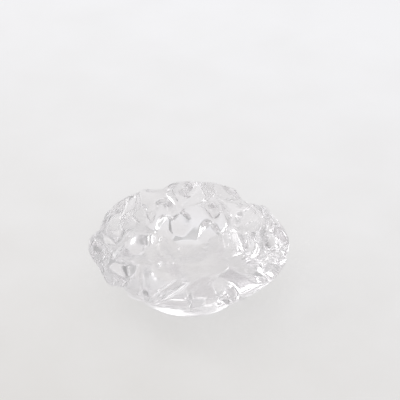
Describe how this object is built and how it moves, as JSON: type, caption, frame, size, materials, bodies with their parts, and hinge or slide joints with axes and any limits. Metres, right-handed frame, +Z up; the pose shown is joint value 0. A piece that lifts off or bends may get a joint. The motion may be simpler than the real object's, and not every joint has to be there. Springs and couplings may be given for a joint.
{
  "type": "tea light holder",
  "caption": "Low round tea light holder of clear pressed glass, with a faceted broken-ice relief round the flank and crown, a smooth tapered well and a flat foot.",
  "frame": {"origin": "middle of the flat foot, on the surface that the holder stands on", "axes": "+Z up along the well's axis, out of the well's mouth; +X to the right and -Y towards the viewer of the picture"},
  "size_m": [0.1012, 0.1012, 0.0448],
  "materials": {
    "clear_glass": "clear, colourless and fire-polished, with softly rounded facet edges"
  },
  "bodies": {
    "root": {"glass_body": "clear_glass"}
  },
  "joints": []
}
